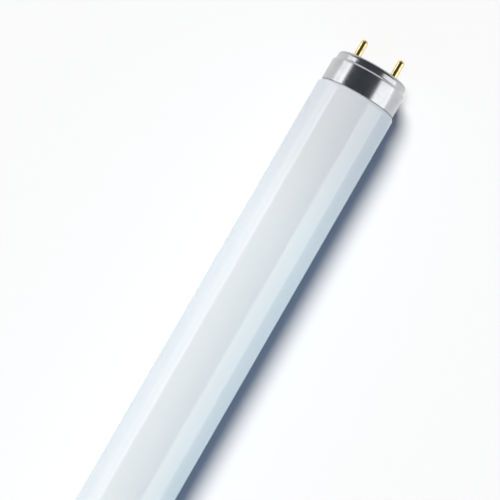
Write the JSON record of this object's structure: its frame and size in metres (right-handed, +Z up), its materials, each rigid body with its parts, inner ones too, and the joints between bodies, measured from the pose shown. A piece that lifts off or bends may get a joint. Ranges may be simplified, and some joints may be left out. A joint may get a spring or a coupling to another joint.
{
  "type": "fluorescent tube",
  "caption": "Straight tubular fluorescent lamp: sealed white glass tube with a stepped aluminium cap and brass contact pins at each end.",
  "frame": {"origin": "middle of the lamp, on the tube's axis, halfway between the end faces of the two caps", "axes": "+X along the tube towards the right cap, +Y from the front pins to the rear pins, +Z up"},
  "size_m": [0.603, 0.026, 0.026],
  "materials": {
    "white_glass": "gloss",
    "cap_metal": "bright drawn",
    "insulator": "satin",
    "cement": "matte",
    "pin_brass": "bright",
    "lead_wire": "satin"
  },
  "bodies": {
    "root": {"glass_tube": "white_glass", "left_cap": "cap_metal", "left_pin_plate": "insulator", "left_cement": "cement", "left_front_pin": "pin_brass", "left_front_lead": "lead_wire", "left_rear_pin": "pin_brass", "left_rear_lead": "lead_wire", "right_cap": "cap_metal", "right_pin_plate": "insulator", "right_cement": "cement", "right_front_pin": "pin_brass", "right_front_lead": "lead_wire", "right_rear_pin": "pin_brass", "right_rear_lead": "lead_wire"}
  },
  "joints": []
}
